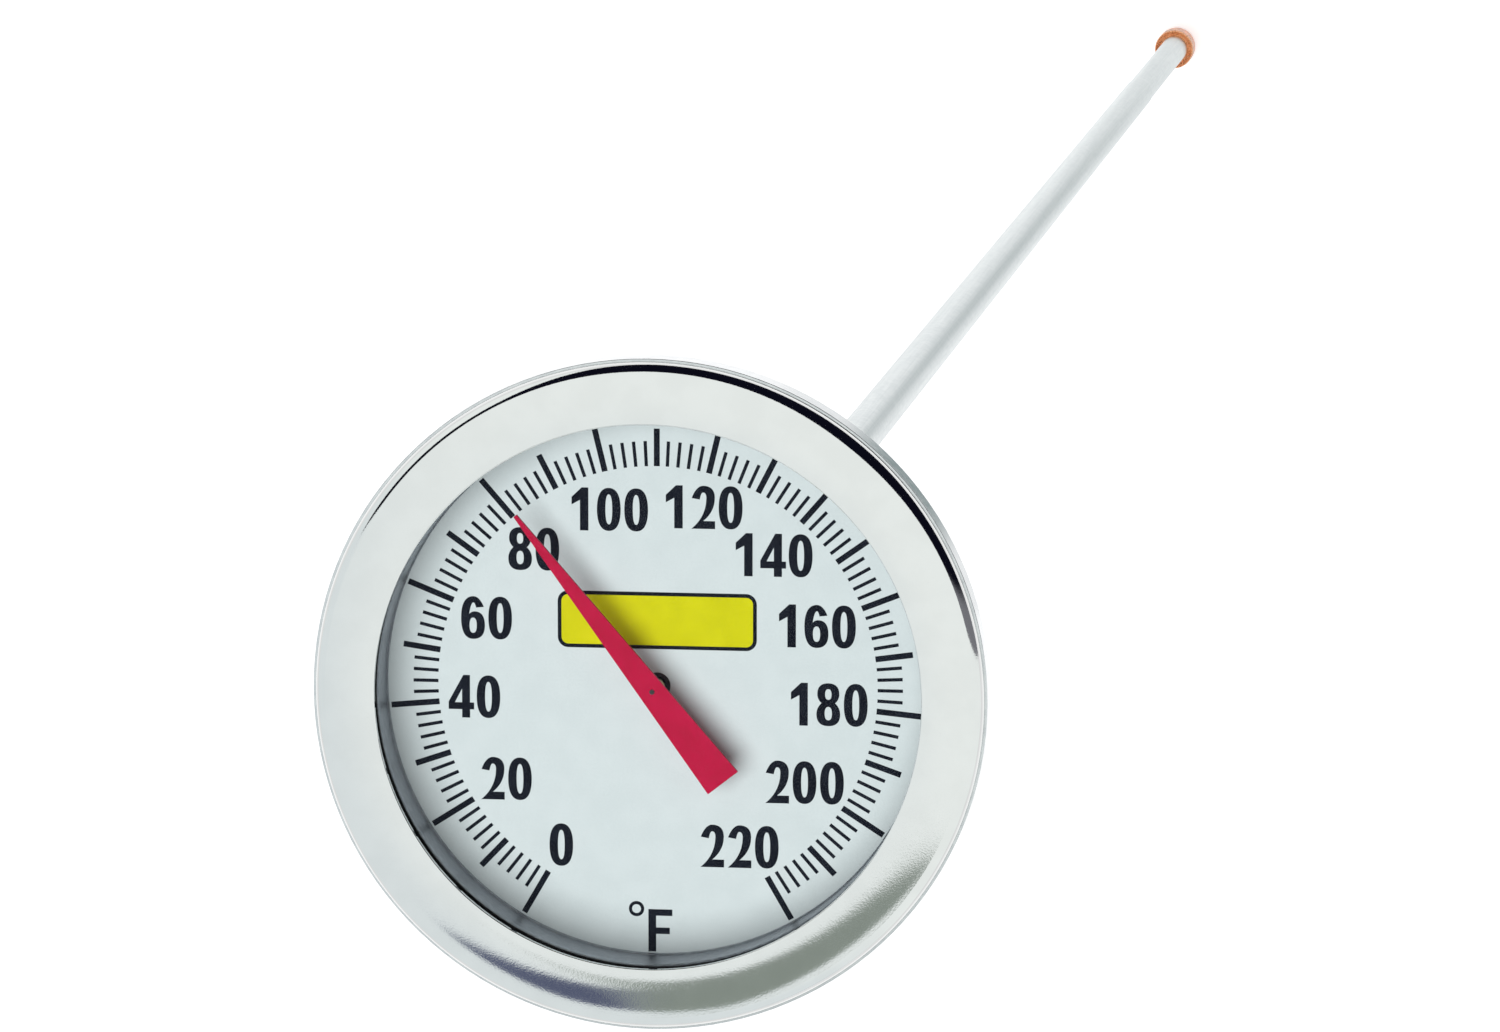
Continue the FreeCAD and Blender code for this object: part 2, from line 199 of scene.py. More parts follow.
# Figures, in parts of their height. A point is x, y, and how the outline passes it:
# "c" is a corner, "h" and "v" are smooth with the outline level or upright there.
def oval(x0, y0, x1, y1):
    """Closed outline of an oval that fills the box."""
    x, y = (x0 + x1) / 2, (y0 + y1) / 2
    return [(x, y0, "h"), (x1, y, "v"), (x, y1, "h"), (x0, y, "v")]


FIGURES = {
    "0": [oval(0, 0, 0.55, 1), oval(0.195, 0.15, 0.355, 0.85)],
    "1": [
        [
            (0.195, 0, "c"),
            (0.39, 0, "c"),
            (0.39, 1, "c"),
            (0.235, 1, "c"),
            (0.0, 0.775, "c"),
            (0.0, 0.60, "c"),
            (0.195, 0.71, "c"),
        ]
    ],
    "2": [
        [
            (0, 0, "c"),
            (0.55, 0, "c"),
            (0.55, 0.18, "c"),
            (0.27, 0.18, "c"),
            (0.545, 0.72, "v"),
            (0.275, 1, "h"),
            (0.01, 0.71, "c"),
            (0.195, 0.68, "c"),
            (0.27, 0.845, "h"),
            (0.35, 0.715, "v"),
        ]
    ],
    "4": [
        [
            (0.315, 0, "c"),
            (0.50, 0, "c"),
            (0.50, 0.195, "c"),
            (0.595, 0.195, "c"),
            (0.595, 0.355, "c"),
            (0.50, 0.355, "c"),
            (0.50, 1, "c"),
            (0.345, 1, "c"),
            (0, 0.37, "c"),
            (0, 0.195, "c"),
            (0.315, 0.195, "c"),
        ],
        [(0.315, 0.355, "c"), (0.315, 0.68, "c"), (0.145, 0.355, "c")],
    ],
    "6": [
        [
            (0.28, 0, "h"),
            (0.555, 0.32, "v"),
            (0.32, 0.645, "h"),
            (0.19, 0.585, "c"),
            (0.29, 0.855, "h"),
            (0.35, 0.735, "c"),
            (0.53, 0.755, "c"),
            (0.29, 1, "h"),
            (0, 0.49, "v"),
        ],
        oval(0.195, 0.14, 0.365, 0.50),
    ],
    "8": [
        [
            (0.275, 0, "h"),
            (0.55, 0.275, "v"),
            (0.43, 0.535, "c"),
            (0.53, 0.745, "v"),
            (0.275, 1, "h"),
            (0.02, 0.745, "v"),
            (0.12, 0.535, "c"),
            (0, 0.275, "v"),
        ],
        oval(0.19, 0.135, 0.36, 0.45),
        oval(0.20, 0.615, 0.35, 0.865),
    ],
    "F": [
        [
            (0, 0, "c"),
            (0.18, 0, "c"),
            (0.18, 0.42, "c"),
            (0.5, 0.42, "c"),
            (0.5, 0.57, "c"),
            (0.18, 0.57, "c"),
            (0.18, 0.85, "c"),
            (0.56, 0.85, "c"),
            (0.56, 1, "c"),
            (0, 1, "c"),
        ]
    ],
}


def handle(here, there, reach):
    """A point's handle towards a neighbour: on its level or upright tangent, or on a corner."""
    x, y, kind = here
    if kind == "h":
        return x + reach * (there[0] - x), y
    if kind == "v":
        return x, y + reach * (there[1] - y)
    return x, y


def printed(name, outlines, scale=1.0, shift=(0.0, 0.0), reach=ROUND):
    """A thin layer of print on the dial, filled between closed outlines in millimetres."""
    curve = bpy.data.curves.new(name, "CURVE")
    curve.dimensions = "2D"
    curve.fill_mode = "BOTH"
    curve.resolution_u = CURVE_STEPS
    curve.extrude = INK_THICKNESS * MM / 2
    for outline in outlines:
        spline = curve.splines.new("BEZIER")
        spline.bezier_points.add(len(outline) - 1)
        spline.use_cyclic_u = True
        for i, (point, here) in enumerate(zip(spline.bezier_points, outline)):
            before = outline[i - 1]
            after = outline[(i + 1) % len(outline)]
            spots = (here[:2], handle(here, before, reach), handle(here, after, reach))
            point.handle_left_type = "FREE"
            point.handle_right_type = "FREE"
            point.co, point.handle_left, point.handle_right = [
                (MM * (shift[0] + scale * x), MM * (shift[1] + scale * y), 0) for x, y in spots
            ]
    stand_in = bpy.data.objects.new(name + "_curve", curve)
    bpy.context.scene.collection.objects.link(stand_in)
    bpy.context.view_layer.update()
    shaped = stand_in.evaluated_get(bpy.context.evaluated_depsgraph_get())
    mesh = bpy.data.meshes.new_from_object(shaped)
    bpy.data.objects.remove(stand_in)
    mesh.name = name
    piece = bpy.data.objects.new(name, mesh)
    piece.location.z = dial_face + INK_THICKNESS / 2 * MM
    bpy.context.scene.collection.objects.link(piece)
    return piece


def finished(piece, body, material):
    """Gives a piece its material, the body it rides on and the slot its finish comes from."""
    piece.data.materials.clear()
    piece.data.materials.append(material)
    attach(piece, body)


def mesh_piece(name, vertices, faces, smooth=False):
    """A new object with the mesh of these vertices and faces."""
    mesh = bpy.data.meshes.new(name)
    mesh.from_pydata(vertices, [], faces)
    mesh.validate()
    mesh.polygons.foreach_set("use_smooth", [smooth] * len(mesh.polygons))
    piece = bpy.data.objects.new(name, mesh)
    bpy.context.scene.collection.objects.link(piece)
    return piece


# ---------------------------------------------------------------- materials

# Sockets that a Mix node uses for colours
MIX_FIRST, MIX_SECOND, MIX_RESULT = 6, 7, 2

# Spans over which a noise's middle values are spread, for colour and for roughness
TONE_SPAN = (0.35, 0.65)
ROUGH_SPAN = (0.3, 0.7)


def add(tree, kind, inputs=None, **settings):
    """A node with its settings and its inputs, which are values or other nodes' outputs."""
    made = tree.nodes.new(kind)
    for key, value in settings.items():
        setattr(made, key, value)
    for key, value in (inputs or {}).items():
        if isinstance(value, bpy.types.NodeSocket):
            tree.links.new(value, made.inputs[key])
        else:
            made.inputs[key].default_value = value
    return made


def calc(tree, operation, first, second=0.0):
    """One sum on values or other nodes' outputs."""
    return add(tree, "ShaderNodeMath", {0: first, 1: second}, operation=operation).outputs[0]


def noise(tree, vector, scale, detail=3.0):
    inputs = {"Vector": vector, "Scale": scale, "Detail": detail}
    return add(tree, "ShaderNodeTexNoise", inputs).outputs[0]


def ranged(tree, value, low, high, bottom, top):
    """The value, moved smoothly from low..high to bottom..top."""
    inputs = {"Value": value, "From Min": low, "From Max": high, "To Min": bottom, "To Max": top}
    return add(tree, "ShaderNodeMapRange", inputs, interpolation_type="SMOOTHSTEP").outputs[0]


def blended(tree, factor, dark, light):
    """From one colour to another, each a colour or another node's output."""
    first, second = [c if isinstance(c, bpy.types.NodeSocket) else (*c, 1) for c in (dark, light)]
    inputs = {"Factor": factor, MIX_FIRST: first, MIX_SECOND: second}
    return add(tree, "ShaderNodeMix", inputs, data_type="RGBA").outputs[MIX_RESULT]


def separated(tree, vector):
    return add(tree, "ShaderNodeSeparateXYZ", {0: vector}).outputs


def stretched(tree, vector, factors):
    inputs = {0: vector, 1: factors}
    return add(tree, "ShaderNodeVectorMath", inputs, operation="MULTIPLY").outputs[0]


def squared(tree, value):
    return calc(tree, "MULTIPLY", value, value)


def place(tree):
    """Where a point of the surface is on its object."""
    return add(tree, "ShaderNodeTexCoord").outputs["Object"]


def round_place(tree):
    """Radius, turn and height in place of x, y and z, for marks that run round the axis."""
    x, y, z = separated(tree, place(tree))
    radius = calc(tree, "SQRT", calc(tree, "ADD", squared(tree, x), squared(tree, y)))
    angle = calc(tree, "ARCTAN2", y, x)
    return add(tree, "ShaderNodeCombineXYZ", {0: radius, 1: angle, 2: z}).outputs[0]


def bumped(tree, height, depth):
    inputs = {"Height": height, "Distance": depth, "Strength": 1.0}
    return add(tree, "ShaderNodeBump", inputs).outputs[0]


def new_material(name, **sockets):
    """A Principled material, its shader's sockets set by name with spaces as underscores."""
    material = bpy.data.materials.new(name)
    material.use_nodes = True
    tree = material.node_tree
    shader = tree.nodes["Principled BSDF"]
    for key, value in sockets.items():
        shader.inputs[key.replace("_", " ").title().replace("Ior", "IOR")].default_value = value
    return material, tree, shader


def join(tree, shader, **sockets):
    """Joins other nodes' outputs to the shader's sockets."""
    for key, value in sockets.items():
        tree.links.new(value, shader.inputs[key.replace("_", " ").title()])


def steel(name, light, dark, roughness, lines, clouds, depth, around=True):
    """Steel with fine lines round its axis, or straight ones, over a cloudy tone.

    The lines run along the direction with the low scale, clouds is the tone's scale, and depth is
    how deep the lines are.
    """
    material, tree, shader = new_material(name, metallic=1.0)
    where = round_place(tree) if around else place(tree)
    line = noise(tree, stretched(tree, where, lines), 1.0, 4.0)
    cloud = noise(tree, place(tree), clouds, 4.0)
    tone = calc(tree, "ADD", calc(tree, "MULTIPLY", line, 0.5), calc(tree, "MULTIPLY", cloud, 0.5))
    smooth, rough = roughness
    join(
        tree,
        shader,
        base_color=blended(tree, ranged(tree, tone, *TONE_SPAN, 0, 1), dark, light),
        roughness=ranged(tree, tone, *ROUGH_SPAN, rough, smooth),
        normal=bumped(tree, line, depth),
    )
    return material


def bezel_steel():
    """Polished sheet with a fine pitted skin, which breaks up the edges of what it reflects."""
    material, tree, shader = new_material("bezel_steel", metallic=1.0)
    where = place(tree)
    pits = noise(tree, where, 7500, 2.0)
    lines = noise(tree, stretched(tree, round_place(tree), (7000, 40, 7000)), 1.0, 3.0)
    clouds = noise(tree, where, 350, 3.0)
    height = calc(tree, "ADD", pits, calc(tree, "MULTIPLY", lines, 0.25))
    dark, light = (0.795, 0.805, 0.80), (0.82, 0.83, 0.825)
    smooth, rough = 0.05, 0.085
    join(
        tree,
        shader,
        base_color=blended(tree, ranged(tree, clouds, *TONE_SPAN, 0, 1), dark, light),
        roughness=ranged(tree, pits, *ROUGH_SPAN, rough, smooth),
        normal=bumped(tree, height, 1.6e-6),
    )
    return material


def case_steel():
    return steel(
        "case_steel",
        light=(0.74, 0.76, 0.77),
        dark=(0.66, 0.68, 0.70),
        roughness=(0.13, 0.22),
        lines=(9000, 40, 9000),
        clouds=1500,
        depth=1e-6,
    )


def stem_steel():
    return steel(
        "stem_steel",
        light=(0.72, 0.755, 0.76),
        dark=(0.65, 0.69, 0.70),
        roughness=(0.36, 0.46),
        lines=(9000, 9000, 60),
        clouds=1500,
        depth=1e-6,
        around=False,
    )


def hub_steel():
    return steel(
        "hub_steel",
        light=(0.72, 0.73, 0.75),
        dark=(0.58, 0.60, 0.62),
        roughness=(0.20, 0.34),
        lines=(14000, 30, 14000),
        clouds=1800,
        depth=3e-6,
    )


def spring_steel():
    return steel(
        "spring_steel",
        light=(0.50, 0.51, 0.53),
        dark=(0.36, 0.37, 0.40),
        roughness=(0.25, 0.40),
        lines=(8000, 60, 8000),
        clouds=2500,
        depth=2e-6,
    )


def spacer_metal():
    return steel(
        "spacer_metal",
        light=(0.42, 0.44, 0.48),
        dark=(0.36, 0.38, 0.42),
        roughness=(0.38, 0.50),
        lines=(7000, 40, 7000),
        clouds=1800,
        depth=2e-6,
    )


def brass():
    return steel(
        "brass",
        light=(0.78, 0.60, 0.30),
        dark=(0.60, 0.43, 0.19),
        roughness=(0.22, 0.38),
        lines=(9000, 40, 9000),
        clouds=2200,
        depth=2e-6,
    )


def bimetal():
    return steel(
        "bimetal",
        light=(0.66, 0.60, 0.52),
        dark=(0.46, 0.41, 0.36),
        roughness=(0.28, 0.42),
        lines=(9000, 30, 9000),
        clouds=2200,
        depth=2e-6,
    )


def plastic(name, dark, light, roughness, grain, depth, **sockets):
    """Moulded or painted surface: a fine grain under a slow change of tone."""
    material, tree, shader = new_material(name, **sockets)
    where = place(tree)
    fine = noise(tree, where, grain, 3.0)
    slow = noise(tree, where, grain / 12, 2.0)
    tone = calc(tree, "ADD", calc(tree, "MULTIPLY", fine, 0.6), calc(tree, "MULTIPLY", slow, 0.4))
    join(
        tree,
        shader,
        base_color=blended(tree, ranged(tree, tone, *TONE_SPAN, 0, 1), dark, light),
        roughness=ranged(tree, fine, *ROUGH_SPAN, *roughness),
        normal=bumped(tree, fine, depth),
    )
    return material


def dial_paint():
    return plastic(
        "dial_face",
        dark=(0.60, 0.665, 0.675),
        light=(0.64, 0.705, 0.715),
        roughness=(0.42, 0.55),
        grain=6000,
        depth=3e-6,
    )


def ink():
    return plastic(
        "dial_ink",
        dark=(0.004, 0.005, 0.010),
        light=(0.010, 0.013, 0.022),
        roughness=(0.40, 0.60),
        grain=9000,
        depth=2e-6,
        specular_ior_level=0.25,
    )


def panel_paint():
    return plastic(
        "panel_yellow",
        dark=(0.55, 0.535, 0.004),
        light=(0.65, 0.635, 0.008),
        roughness=(0.40, 0.55),
        grain=6000,
        depth=2e-6,
        specular_ior_level=0.25,
    )


def pointer_paint():
    return plastic(
        "pointer_red",
        dark=(0.41, 0.006, 0.040),
        light=(0.50, 0.009, 0.055),
        roughness=(0.34, 0.50),
        grain=5000,
        depth=4e-6,
        specular_ior_level=0.25,
    )


def gasket_rubber():
    return plastic(
        "gasket_rubber",
        dark=(0.008, 0.008, 0.010),
        light=(0.022, 0.022, 0.025),
        roughness=(0.60, 0.80),
        grain=3000,
        depth=6e-6,
    )


def bearing_black():
    return plastic(
        "bearing_black",
        dark=(0.02, 0.02, 0.026),
        light=(0.045, 0.045, 0.055),
        roughness=(0.40, 0.58),
        grain=4000,
        depth=3e-6,
    )


def nylon():
    return plastic(
        "nylon",
        dark=(0.78, 0.76, 0.70),
        light=(0.88, 0.87, 0.82),
        roughness=(0.40, 0.55),
        grain=3500,
        depth=3e-6,
    )


def lets_light_through(material, tree, shader):
    """Lets lamps and bounced light pass straight through, so that what is behind is lit fully."""
    paths = add(tree, "ShaderNodeLightPath")
    passed = calc(tree, "MAXIMUM", paths.outputs["Is Shadow Ray"], paths.outputs["Is Diffuse Ray"])
    clear = add(tree, "ShaderNodeBsdfTransparent")
    mixed = add(tree, "ShaderNodeMixShader", {0: passed, 1: shader.outputs[0], 2: clear.outputs[0]})
    tree.links.new(mixed.outputs[0], tree.nodes["Material Output"].inputs["Surface"])
    return material


def window_glass():
    """Clear glass with a weak gloss of its own and a trace of haze."""
    material, tree, shader = new_material(
        "window_glass",
        base_color=(0.97, 0.99, 0.985, 1),
        ior=1.5,
        transmission_weight=1.0,
        specular_tint=(0.12, 0.13, 0.14, 1),
    )
    haze = noise(tree, place(tree), 400, 2.0)
    join(tree, shader, roughness=ranged(tree, haze, 0.45, 0.75, 0.0, 0.012))
    return lets_light_through(material, tree, shader)


def cap_vinyl():
    """Soft translucent vinyl."""
    material, tree, shader = new_material("cap_orange", ior=1.45, transmission_weight=0.75)
    where = place(tree)
    slow = noise(tree, where, 900, 3.0)
    fine = noise(tree, where, 4500, 3.0)
    join(
        tree,
        shader,
        base_color=blended(tree, slow, (0.90, 0.28, 0.07), (1.0, 0.42, 0.15)),
        roughness=ranged(tree, fine, *ROUGH_SPAN, 0.22, 0.38),
        normal=bumped(tree, fine, 5e-6),
    )
    return material


def floor_paint():
    """White without gloss, with a little light of its own so that the floor shows white."""
    material, tree, shader = new_material(
        "studio_floor",
        emission_color=(1, 1, 1, 1),
        emission_strength=FLOOR_GLOW,
        specular_ior_level=0.0,
    )
    join(tree, shader, base_color=blended(tree, noise(tree, place(tree), 3.0), *FLOOR_TONES))
    return material


NODE_MATERIALS = {
    case_steel: ("case_cup",),
    stem_steel: ("stem_tube", "tip_plug"),
    hub_steel: ("hex_hub",),
    spring_steel: ("spring_washer", "retaining_ring", "spindle"),
    spacer_metal: ("spacer_ring",),
    brass: (
        "coil_anchor",
        "coil_collet",
        "pointer_hub",
        "guide_bush_1",
        "guide_bush_2",
        "guide_bush_3",
        "guide_bush_4",
    ),
    bimetal: ("bimetal_coil",),
    dial_paint: ("dial_plate",),
    gasket_rubber: ("lens_gasket",),
    bearing_black: ("spindle_bearing",),
    nylon: ("friction_washer",),
    window_glass: ("glass_lens",),
    cap_vinyl: ("tip_cap",),
}


def dress_nodes():
    """Gives the CAD's own solids their materials."""
    for make, names in NODE_MATERIALS.items():
        material = make()
        for name in names:
            slots = nodes[name].data.materials
            slots.clear()
            slots.append(material)


# ---------------------------------------------------------------- print on the dial


def scale_lines(material):
    """The scale's radial lines, longer every ten and every twenty degrees."""
    vertices, faces = [], []
    for reading in range(0, SCALE_MAXIMUM + 1, SCALE_STEP):
        kind = "minor"
        if reading % LONG_STEP == 0:
            kind = "long"
        elif reading % MEDIUM_STEP == 0:
            kind = "medium"
        half = LINE_WIDTH[kind] / 2
        turn = math.radians(turn_of(reading))
        out = Vector((math.sin(turn), math.cos(turn)))
        side = Vector((out.y, -out.x))
        corners = [
            out * LINE_INNER + side * half,
            out * LINE_INNER - side * half,
            out * LINE_OUTER[kind] - side * half,
            out * LINE_OUTER[kind] + side * half,
        ]
        first = len(vertices)
        for z in (dial_face, dial_face + INK_THICKNESS * MM):
            vertices += [(c.x * MM, c.y * MM, z) for c in corners]
        faces += [[first + i for i in ring] for ring in ((0, 1, 2, 3), (7, 6, 5, 4))]
        for i in range(4):
            here, there = first + i, first + (i + 1) % 4
            faces.append([here, here + 4, there + 4, there])
    piece = mesh_piece("scale_lines", vertices, faces)
    finished(piece, "head", material)


def left_and_right(outlines):
    xs = [x for outline in outlines for x, _, _ in outline]
    return min(xs), max(xs)


def number(reading, material):
    """One number, its figures in cells of one width and its whole centred on its place."""
    cell = FIGURE_CELL / FIGURE_HEIGHT
    outlines = []
    for i, figure in enumerate(str(reading)):
        left, right = left_and_right(FIGURES[figure])
        # a one stands a little to the left in its cell
        nudge = ONE_NUDGE if figure == "1" else 0.0
        shift = i * cell - (left + right) / 2 + nudge
        for outline in FIGURES[figure]:
            outlines.append([(x + shift, y, kind) for x, y, kind in outline])
    left, right = left_and_right(outlines)
    x, y = NUMBER_CENTRES[reading]
    corner = (x - (left + right) / 2 * FIGURE_HEIGHT, y - FIGURE_HEIGHT / 2)
    piece = printed(f"number_{reading}", outlines, FIGURE_HEIGHT, corner, FULL)
    finished(piece, "head", material)


def unit_mark(material):
    """The letter F with a degree ring up to its left."""
    letter = printed("unit_letter", FIGURES["F"], FIGURE_HEIGHT, UNIT_LETTER_CORNER)
    x, y = DEGREE_CENTRE
    rings = [oval(x - r, y - r, x + r, y + r) for r in DEGREE_RADII]
    degree = printed("unit_degree", rings)
    for piece in (letter, degree):
        finished(piece, "head", material)


def rounded_box(width, height, corner):
    """Closed outline of a rounded rectangle round the panel's centre."""
    x, y = PANEL_CENTRE
    w, h = width / 2, height / 2
    return [
        (x - w + corner, y - h, "h"),
        (x + w - corner, y - h, "h"),
        (x + w, y - h + corner, "v"),
        (x + w, y + h - corner, "v"),
        (x + w - corner, y + h, "h"),
        (x - w + corner, y + h, "h"),
        (x - w, y + h - corner, "v"),
        (x - w, y - h + corner, "v"),
    ]


def colour_panel(material, border_material):
    """A plain yellow panel with one thin dark border."""
    width, height = PANEL_SIZE
    outer = rounded_box(width, height, PANEL_ROUND)
    inner = rounded_box(
        width - 2 * PANEL_BORDER, height - 2 * PANEL_BORDER, PANEL_ROUND - PANEL_BORDER
    )
    border = printed("panel_border", [outer, inner])
    panel = printed("panel_field", [inner])
    finished(border, "head", border_material)
    finished(panel, "head", material)


# ---------------------------------------------------------------- pointer


def pointer_blade(material):
    """Tapered sheet pointer with softly broken edges."""
    turn = math.radians(turn_of(POINTER_READING))
    out = Vector((math.sin(turn), math.cos(turn), 0))
    side = Vector((out.y, -out.x, 0))
    plan = [
        out * POINTER_TIP + side * POINTER_TIP_WIDTH / 2,
        out * POINTER_TIP - side * POINTER_TIP_WIDTH / 2,
        out * -POINTER_TAIL - side * POINTER_TAIL_WIDTH / 2,
        out * -POINTER_TAIL + side * POINTER_TAIL_WIDTH / 2,
    ]
    made = bmesh.new()
    base = made.faces.new([made.verts.new((p.x * MM, p.y * MM, pointer_low.z)) for p in plan])
    raised = bmesh.ops.extrude_face_region(made, geom=[base])["geom"]
    top = [v for v in raised if isinstance(v, bmesh.types.BMVert)]
    bmesh.ops.translate(made, verts=top, vec=(0, 0, pointer_high.z - pointer_low.z))
    bmesh.ops.bevel(
        made,
        geom=list(made.edges),
        offset=POINTER_EDGE * MM,
        segments=3,
        profile=0.6,
        affect="EDGES",
    )
    bmesh.ops.recalc_face_normals(made, faces=list(made.faces))
    mesh = bpy.data.meshes.new("pointer_blade")
    made.to_mesh(mesh)
    made.free()
    piece = bpy.data.objects.new("pointer_blade", mesh)
    bpy.context.scene.collection.objects.link(piece)
    finished(piece, "pointer_assembly", material)
    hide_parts("pointer")


# ---------------------------------------------------------------- bezel


def rounded_section(corners):
    """Points and normals of a closed clockwise outline in radius and height, its corners rounded."""
    points, normals = [], []
    for i, (radius, height, corner) in enumerate(corners):
        here = Vector((radius, height))
        back = (Vector(corners[i - 1][:2]) - here).normalized()
        ahead = (Vector(corners[(i + 1) % len(corners)][:2]) - here).normalized()
        half = back.angle(ahead) / 2
        centre = here + (back + ahead).normalized() * (corner / math.sin(half))
        first = here + back * (corner / math.tan(half)) - centre
        bulges = ahead.x * back.y - ahead.y * back.x < 0
        sweep = (2 * half - math.pi) if bulges else (math.pi - 2 * half)
        for k in range(BEZEL_ARC_STEPS + 1):
            angle = sweep * k / BEZEL_ARC_STEPS
            c, s = math.cos(angle), math.sin(angle)
            spoke = Vector((first.x * c - first.y * s, first.x * s + first.y * c))
            points.append(centre + spoke)
            normals.append(spoke.normalized() * (1 if bulges else -1))
    return points, normals


def bezel_sheet(material):
    """The formed ring, turned finely enough that what it mirrors has smooth edges."""
    points, normals = rounded_section(BEZEL_SECTION)
    vertices, directions, faces = [], [], []
    for j in range(BEZEL_SPOKES):
        turn = math.tau * j / BEZEL_SPOKES
        c, s = math.cos(turn), math.sin(turn)
        vertices += [(p.x * c * MM, p.x * s * MM, dial_face + p.y * MM) for p in points]
        directions += [(n.x * c, n.x * s, n.y) for n in normals]
        here, there = j * len(points), (j + 1) % BEZEL_SPOKES * len(points)
        for k in range(len(points)):
            up = (k + 1) % len(points)
            faces.append((here + k, here + up, there + up, there + k))
    piece = mesh_piece("bezel_sheet", vertices, faces, smooth=True)
    piece.data.normals_split_custom_set_from_vertices(directions)
    finished(piece, "head", material)
    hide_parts("bezel_ring")


# ---------------------------------------------------------------- room


def flat_oval(name, length, width, z, material):
    """A level oval that reaches this length along x and this width along y from its centre."""
    corners = []
    for i in range(OVAL_CORNERS):
        turn = math.tau * i / OVAL_CORNERS
        corners.append((length * math.cos(turn), width * math.sin(turn), z))
    piece = mesh_piece(name, corners, [list(range(OVAL_CORNERS))])
    piece.data.materials.append(material)
    return piece


def floor():
    flat_oval("studio_floor", FLOOR_RADIUS, FLOOR_RADIUS, floor_height, floor_paint())


def only_in_reflections(piece):
    """Seen mirrored and nowhere else, so the piece neither lights nor shadows anything."""
    piece.visible_camera = False
    piece.visible_diffuse = False
    piece.visible_transmission = False
    piece.visible_shadow = False


def glow(name, colour_of):
    """A surface that gives off light of its own, in the colour of the nodes that colour_of adds."""
    material = bpy.data.materials.new(name)
    material.use_nodes = True
    material.cycles.emission_sampling = "NONE"
    tree = material.node_tree
    tree.nodes.remove(tree.nodes["Principled BSDF"])
    light = add(tree, "ShaderNodeEmission", {"Color": colour_of(tree)})
    tree.links.new(light.outputs[0], tree.nodes["Material Output"].inputs["Surface"])
    return material


def stretch_edge(tree, x, y, edges):
    """0 within all of the edges and 1 outside them, with a soft step between."""
    out = []
    for facing, reach in edges:
        along_x = calc(tree, "MULTIPLY", x, math.cos(math.radians(facing)))
        along_y = calc(tree, "MULTIPLY", y, math.sin(math.radians(facing)))
        out.append(calc(tree, "SUBTRACT", calc(tree, "ADD", along_x, along_y), reach))
    furthest = out[0]
    for distance in out[1:]:
        furthest = calc(tree, "MAXIMUM", furthest, distance)
    return ranged(tree, furthest, -EDGE_SOFTNESS, EDGE_SOFTNESS, 0, 1)


def tent_colour(tree):
    """White, greyer towards half past seven, with dark stretches over the six o'clock side."""
    unit = add(tree, "ShaderNodeVectorMath", {0: place(tree)}, operation="NORMALIZE")
    x, y, _ = separated(tree, unit.outputs[0])
    far = ranged(tree, calc(tree, "ADD", x, y), *TENT_FAR_SPAN, 0, 1)
    white = blended(tree, far, TENT_FAR_COLOUR, TENT_COLOUR)
    grey = blended(tree, stretch_edge(tree, x, y, GREY_EDGES), GREY_COLOUR, white)
    return blended(tree, stretch_edge(tree, x, y, NAVY_EDGES), NAVY_COLOUR, grey)


def tent():
    """White ball round the room."""
    vertices, faces = [], []
    for i in range(TENT_RINGS + 1):
        rise = math.pi * (i / TENT_RINGS - 0.5)
        out, height = TENT_RADIUS * math.cos(rise), TENT_RADIUS * math.sin(rise)
        for j in range(TENT_SPOKES):
            turn = math.tau * j / TENT_SPOKES
            vertices.append((out * math.cos(turn), out * math.sin(turn), height))
    for i in range(TENT_RINGS):
        low, high = i * TENT_SPOKES, (i + 1) * TENT_SPOKES
        for j in range(TENT_SPOKES):
            k = (j + 1) % TENT_SPOKES
            faces.append((low + j, low + k, high + k, high + j))
    piece = mesh_piece("studio_tent", vertices, faces, smooth=True)
    piece.data.materials.append(glow("tent_white", tent_colour))
    only_in_reflections(piece)


def shade_edges(turn):
    """Tilts of the shade's upper and lower edge at a turn, all in degrees."""
    peak = math.exp(-(((turn - SHADE_PEAK_TURN) / SHADE_PEAK_WIDTH) ** 2))
    start, end = SHADE_WIDENS
    along = min(1.0, max(0.0, (turn - start) / (end - start)))
    along = along * along * (3 - 2 * along)
    narrow, wide = SHADE_BOTTOMS
    return SHADE_TOP - SHADE_PEAK * peak, narrow + (wide - narrow) * along


def shade_colour(tree):
    """Almost black, a little lighter at its end near three o'clock."""
    x, y, _ = separated(tree, place(tree))
    turn = calc(tree, "DEGREES", calc(tree, "ARCTAN2", x, y))
    end = ranged(tree, turn, *SHADE_END_TURNS, 0, 1)
    return blended(tree, end, SHADE_COLOUR, SHADE_END_COLOUR)


def shade():
    """Dark piece of a ball over the head's upper right, which darkens the bezel's shoulder."""
    first, last = SHADE_TURNS
    turns = range(first, last + 1, SHADE_TURN_STEP)
    vertices = []
    for turn in turns:
        upper, lower = shade_edges(turn)
        for i in range(SHADE_ROWS + 1):
            tilt = math.radians(upper + (lower - upper) * i / SHADE_ROWS)
            out = SHADE_RADIUS * math.sin(tilt)
            x, y = out * math.sin(math.radians(turn)), out * math.cos(math.radians(turn))
            vertices.append((x, y, dial_face + SHADE_RADIUS * math.cos(tilt)))
    faces = []
    for j in range(len(turns) - 1):
        for i in range(SHADE_ROWS):
            here = j * (SHADE_ROWS + 1) + i
            there = here + SHADE_ROWS + 1
            faces.append((here, here + 1, there + 1, there))
    piece = mesh_piece("studio_shade", vertices, faces, smooth=True)
    piece.data.materials.append(glow("shade_dark", shade_colour))
    only_in_reflections(piece)


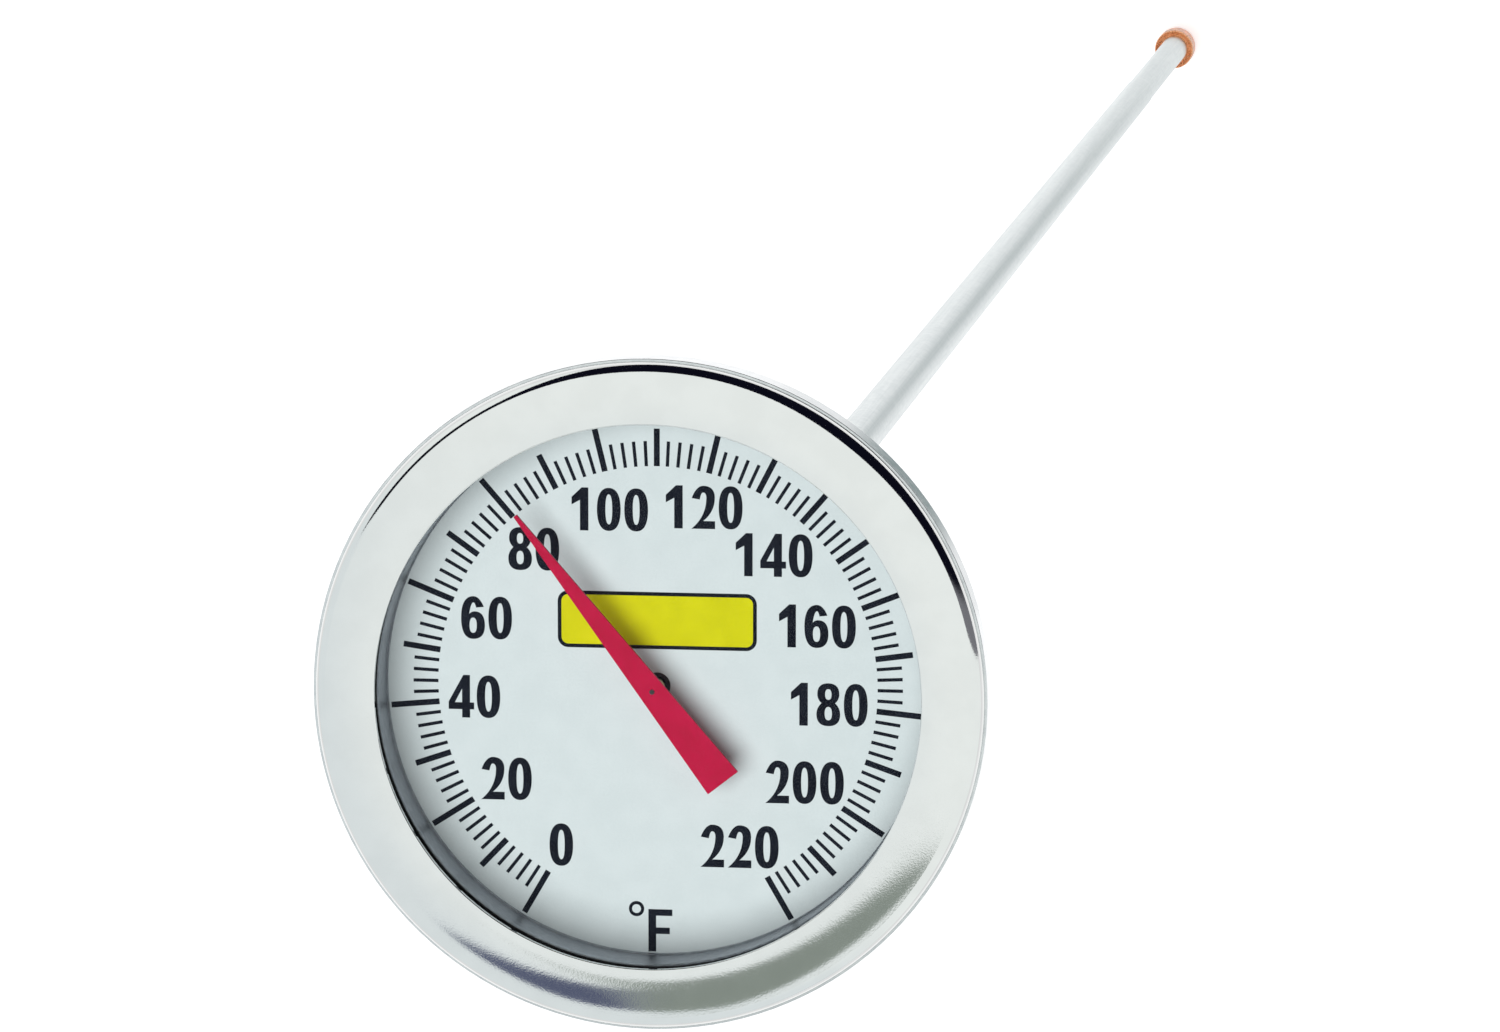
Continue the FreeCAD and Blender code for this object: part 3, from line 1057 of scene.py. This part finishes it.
def mat_colour(tree):
    """Grey in the middle, fading to white."""
    x, y, _ = separated(tree, place(tree))
    x = calc(tree, "DIVIDE", x, MAT_LENGTH)
    y = calc(tree, "DIVIDE", y, MAT_WIDTH)
    away = calc(tree, "ADD", squared(tree, x), squared(tree, y))
    return blended(tree, ranged(tree, away, *MAT_FADE, 0, 1), *MAT_COLOURS)


def mat():
    """Soft grey oval on the floor, its length pointing away from the stem."""
    grey = glow("mat_grey", mat_colour)
    piece = flat_oval("studio_mat", MAT_MARGIN * MAT_LENGTH, MAT_MARGIN * MAT_WIDTH, 0, grey)
    turn = math.radians(MAT_TURN)
    x, y = MAT_REACH * math.sin(turn), MAT_REACH * math.cos(turn)
    piece.location = (x, y, floor_height + MAT_RISE)
    piece.rotation_euler.z = math.pi / 2 - turn
    only_in_reflections(piece)


def room_light():
    """Even dim light from all round, white where the camera sees it."""
    world = bpy.data.worlds.new("studio")
    bpy.context.scene.world = world
    world.use_nodes = True
    tree = world.node_tree
    background = tree.nodes["Background"]
    background.inputs["Color"].default_value = (1, 1, 1, 1)
    seen = add(tree, "ShaderNodeLightPath").outputs["Is Camera Ray"]
    tree.links.new(calc(tree, "MAXIMUM", seen, ROOM_TONE), background.inputs["Strength"])


def soft_lamp(name, place_at, aim, size, power):
    """Round lamp that lights paint and shows in no metal or gloss."""
    light = bpy.data.lights.new(name, "AREA")
    light.shape = "DISK"
    light.size = size
    light.energy = power
    lamp = bpy.data.objects.new(name, light)
    lamp.location = place_at
    lamp.rotation_euler = (Vector(aim) - Vector(place_at)).to_track_quat("-Z", "Y").to_euler()
    lamp.visible_glossy = False
    lamp.visible_transmission = False
    bpy.context.scene.collection.objects.link(lamp)


def camera():
    data = bpy.data.cameras.new("camera")
    data.lens = CAMERA_LENS
    data.sensor_width = CAMERA_SENSOR
    data.clip_start, data.clip_end = CAMERA_CLIP
    made = bpy.data.objects.new("camera", data)
    made.location = CAMERA_PLACE
    made.rotation_euler = Euler([math.radians(a) for a in CAMERA_TURN])
    bpy.context.scene.collection.objects.link(made)
    bpy.context.scene.camera = made


dress_nodes()
dial_ink = ink()
scale_lines(dial_ink)
for reading in NUMBER_CENTRES:
    number(reading, dial_ink)
unit_mark(dial_ink)
colour_panel(panel_paint(), dial_ink)
pointer_blade(pointer_paint())
bezel_sheet(bezel_steel())
floor()
tent()
shade()
mat()
room_light()
soft_lamp("key_lamp", KEY_PLACE, (0, 0, dial_face), KEY_SIZE, KEY_POWER)
camera()
bpy.context.scene.view_settings.view_transform = "Standard"
